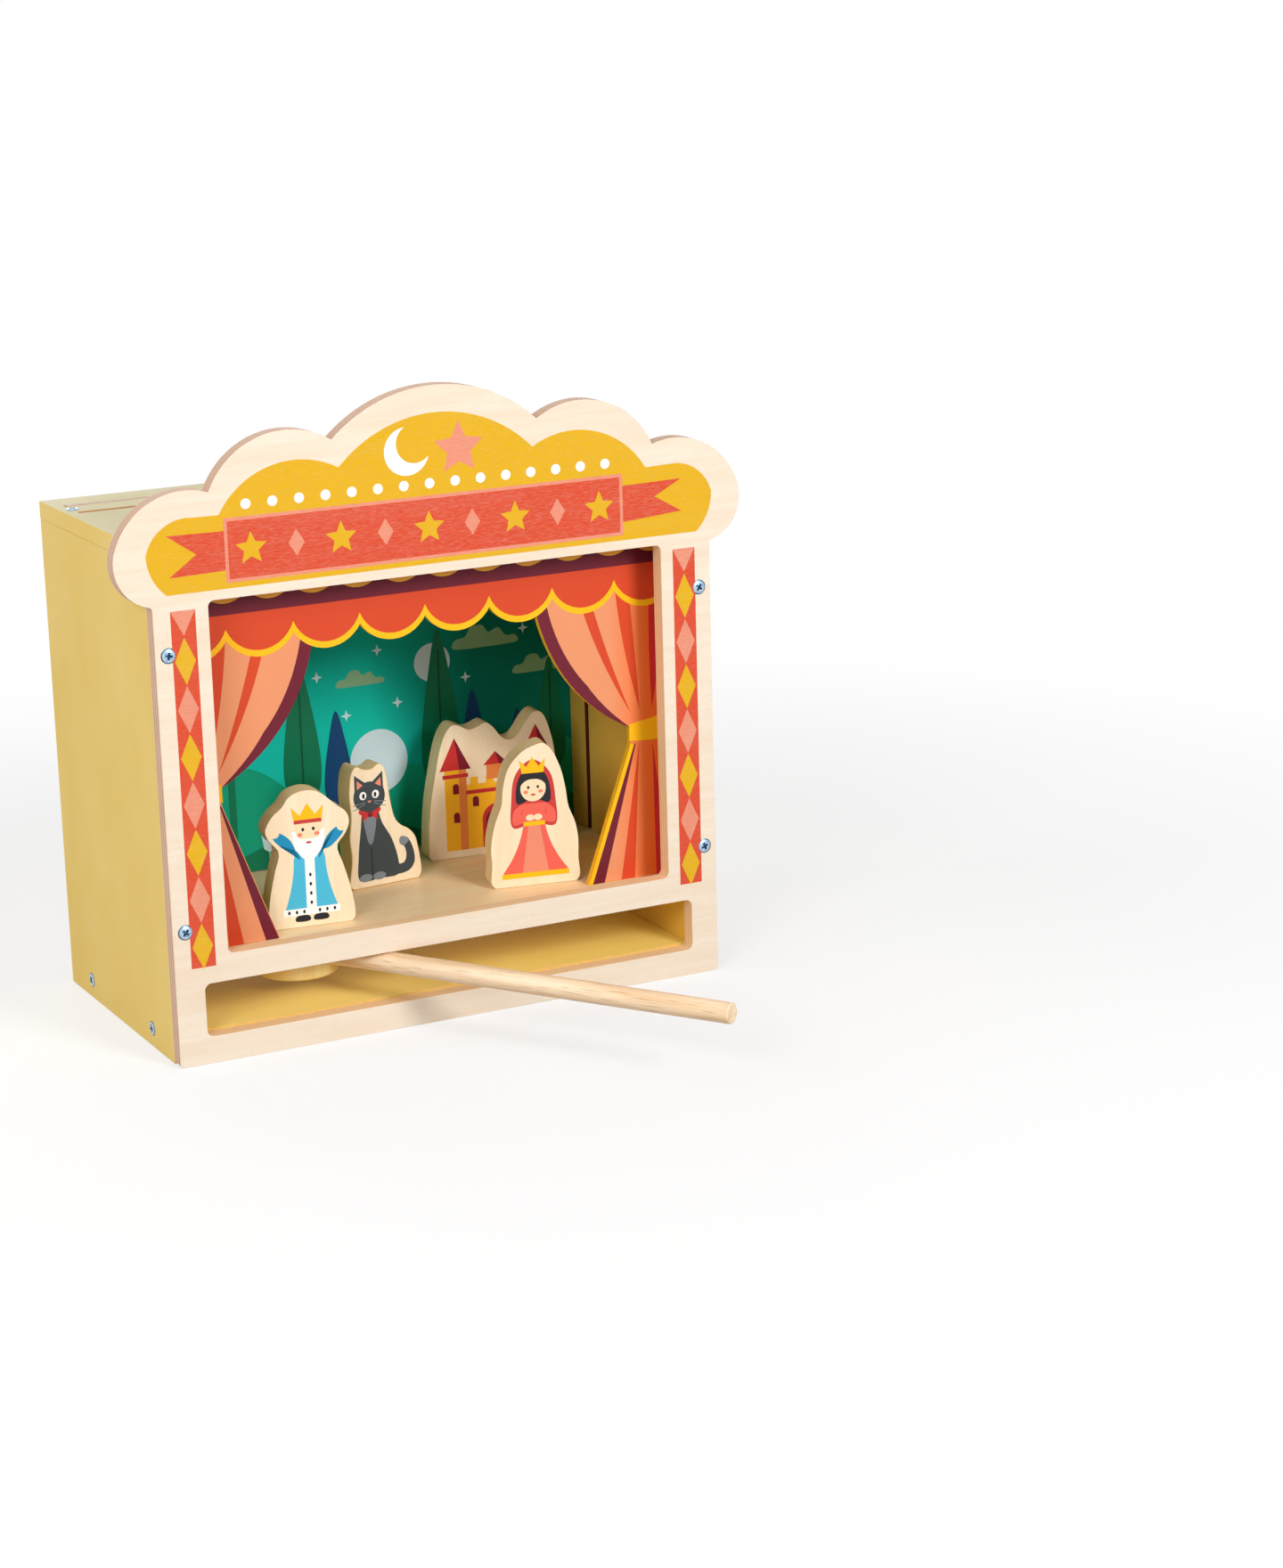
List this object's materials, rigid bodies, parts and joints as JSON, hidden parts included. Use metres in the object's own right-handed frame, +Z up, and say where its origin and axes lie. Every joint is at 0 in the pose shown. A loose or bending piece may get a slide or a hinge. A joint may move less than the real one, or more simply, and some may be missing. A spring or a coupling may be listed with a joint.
{
  "type": "puppet theatre",
  "caption": "Wooden table-top puppet theatre with a scalloped front, curtained stage, sliding scenery board and stage pieces that a magnet wand moves from under the floor.",
  "frame": {"origin": "on the table, at the middle of the box's footprint, on the base board's underside", "axes": "+X to the right as the audience sees the stage, +Y to the open back, +Z up"},
  "size_m": [0.3808, 0.3717, 0.3665],
  "materials": {
    "printed_ply": "birch plywood, screen printed, clear satin varnish",
    "side_paint": "board painted pale yellow, satin",
    "top_paint": "board painted pale yellow, satin",
    "base_paint": "board painted yellow, satin",
    "floor_ply": "birch plywood, clear satin varnish",
    "curtain_print": "thin board printed with curtains, satin",
    "scenery_print": "thin board printed with a landscape, satin",
    "zinc_screw": "bright zinc plated, bluish",
    "figure_wood": "pale hardwood with eased edges, printed front",
    "wand_wood": "turned pale hardwood, bare",
    "disc_magnet": "sintered disc magnet, red-brown"
  },
  "bodies": {
    "theatre": {"front_panel": "printed_ply", "left_side_panel": "side_paint", "right_side_panel": "side_paint", "top_panel": "top_paint", "base_board": "base_paint", "stage_floor": "floor_ply", "curtain_board": "curtain_print", "front_screw_left_upper": "zinc_screw", "front_screw_left_lower": "zinc_screw", "front_screw_right_upper": "zinc_screw", "front_screw_right_lower": "zinc_screw", "top_screw_left_front": "zinc_screw", "top_screw_left_rear": "zinc_screw", "top_screw_right_front": "zinc_screw", "top_screw_right_rear": "zinc_screw", "base_screw_left_front": "zinc_screw", "base_screw_left_rear": "zinc_screw", "base_screw_right_front": "zinc_screw", "base_screw_right_rear": "zinc_screw"},
    "scenery": {"scenery_board": "scenery_print"},
    "wand": {"wand_puck": "wand_wood", "wand_rod": "wand_wood", "wand_magnet": "disc_magnet"},
    "king": {"king_figure": "figure_wood", "king_magnet": "disc_magnet"},
    "queen": {"queen_figure": "figure_wood", "queen_magnet": "disc_magnet"},
    "cat": {"cat_figure": "figure_wood", "cat_magnet": "disc_magnet"},
    "castle": {"castle_block": "figure_wood", "castle_magnet": "disc_magnet"}
  },
  "joints": [
    {"name": "scenery_slide", "type": "slide", "parent": "theatre", "child": "scenery", "axis": [0, 0, 1], "range_m": [0, 0.22]},
    {"name": "wand_slide", "type": "slide", "parent": "theatre", "child": "wand", "axis": [1, 0, 0], "range_m": [-0.05, 0.08]},
    {"name": "king_slide", "type": "slide", "parent": "theatre", "child": "king", "axis": [1, 0, 0], "range_m": [-0.05, 0.08]},
    {"name": "queen_slide", "type": "slide", "parent": "theatre", "child": "queen", "axis": [1, 0, 0], "range_m": [0, 0.05]},
    {"name": "cat_slide", "type": "slide", "parent": "theatre", "child": "cat", "axis": [1, 0, 0], "range_m": [-0.12, 0.125]},
    {"name": "castle_slide", "type": "slide", "parent": "theatre", "child": "castle", "axis": [1, 0, 0], "range_m": [-0.18, 0.025]}
  ],
  "couplings": [
    {"joint": "king_slide", "follows": "wand_slide", "ratio": 1}
  ]
}
